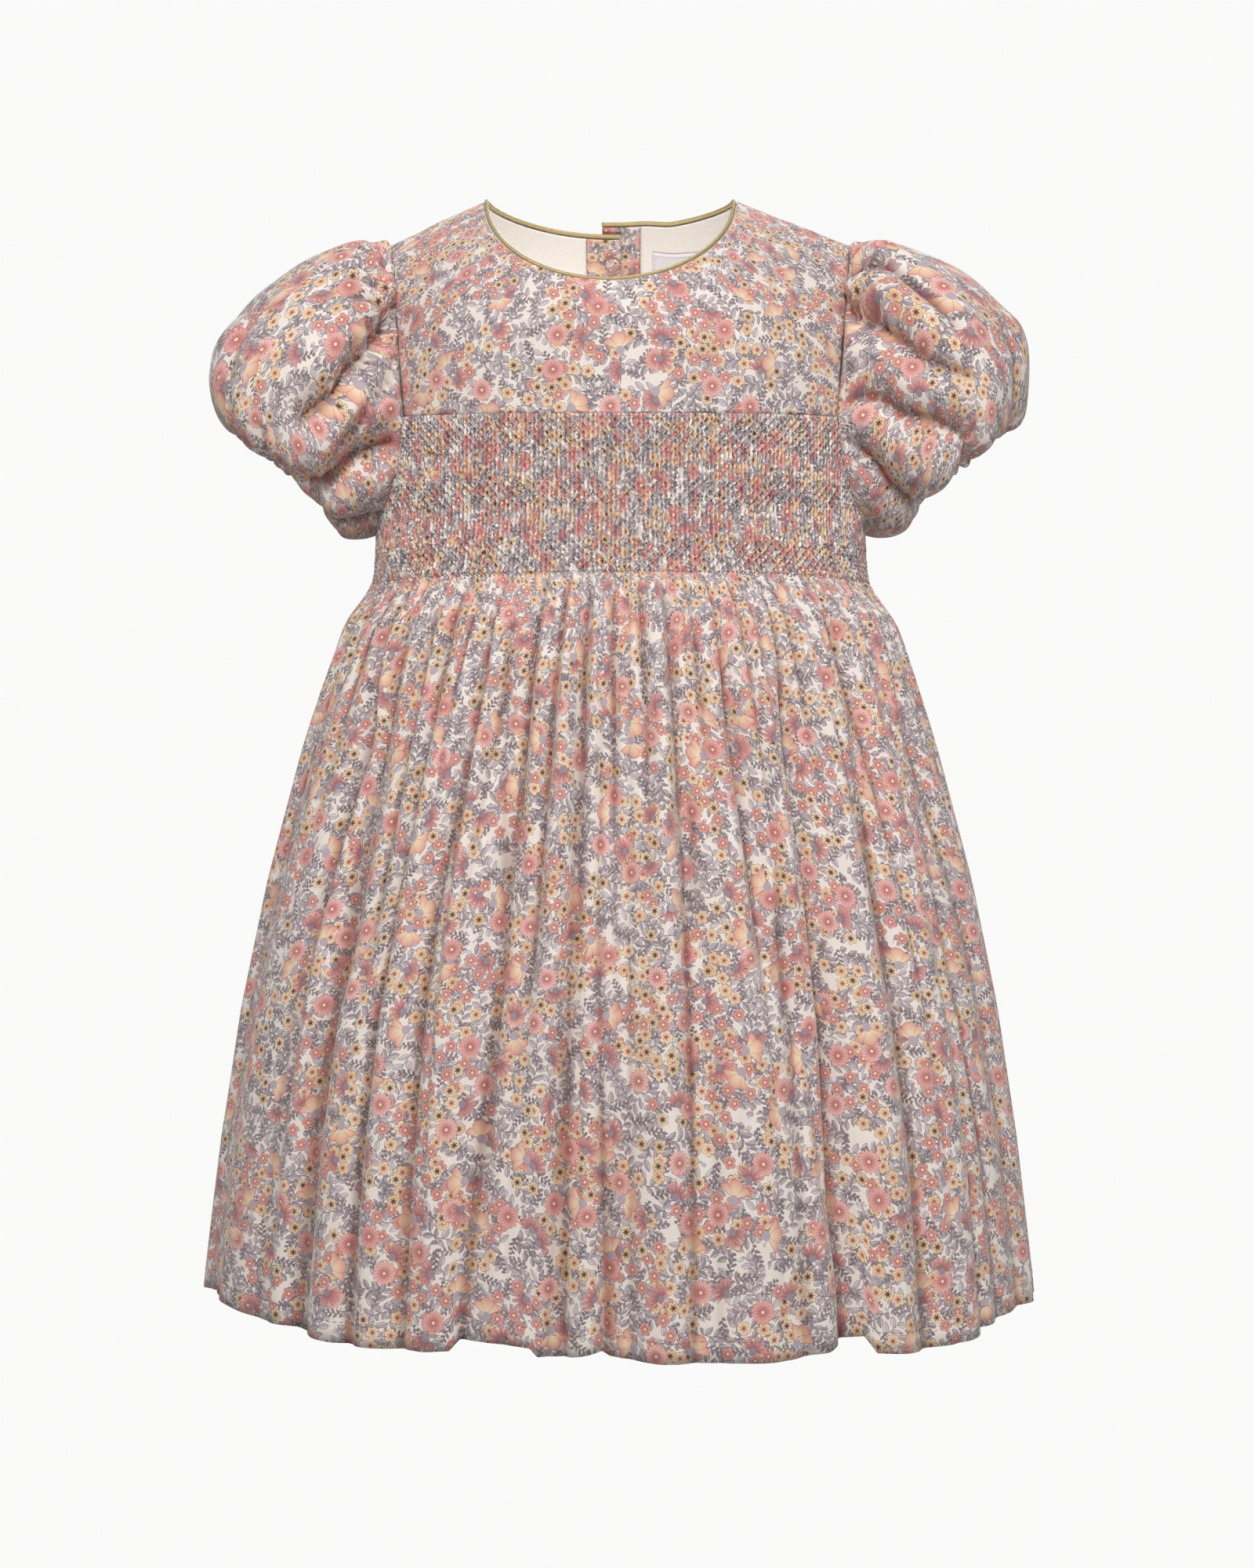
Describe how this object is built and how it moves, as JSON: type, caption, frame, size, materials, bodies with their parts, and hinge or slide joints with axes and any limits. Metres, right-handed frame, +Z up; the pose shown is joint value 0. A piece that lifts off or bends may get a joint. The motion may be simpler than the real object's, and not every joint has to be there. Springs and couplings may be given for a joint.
{
  "type": "smocked dress",
  "caption": "Child's cotton dress with puff sleeves, a smocked chest and a full gathered skirt, in its worn, hollow shape and open at neck, cuffs and hem.",
  "frame": {"origin": "level with the shoulders, midway between the armholes and between front and back, where the wearer's shoulders hold the dress up", "axes": "+Z up, the front faces -Y, +X towards the sleeve that is on the right when the front is looked at"},
  "size_m": [0.3874, 0.2979, 0.5201],
  "materials": {
    "floral_cotton": "soft matte printed cotton lawn",
    "white_cotton": "matte plain cotton",
    "gold_cord": "twisted metallic yarn",
    "label_tape": "smooth woven tape",
    "button_shell": "polished, slightly pearly"
  },
  "bodies": {
    "root": {"yoke_front": "floral_cotton", "front_smocked_panel": "floral_cotton", "skirt_back": "floral_cotton", "back_bodice_left": "floral_cotton", "back_bodice_right": "floral_cotton", "back_facing_left": "floral_cotton", "back_facing_right": "floral_cotton", "back_lining_left": "white_cotton", "back_lining_right": "white_cotton", "sleeve_left": "floral_cotton", "sleeve_right": "floral_cotton", "label_blank": "label_tape", "neck_cord": "gold_cord", "button_back_1": "button_shell", "button_back_2": "button_shell", "button_back_3": "button_shell", "button_inside": "floral_cotton"}
  },
  "joints": []
}
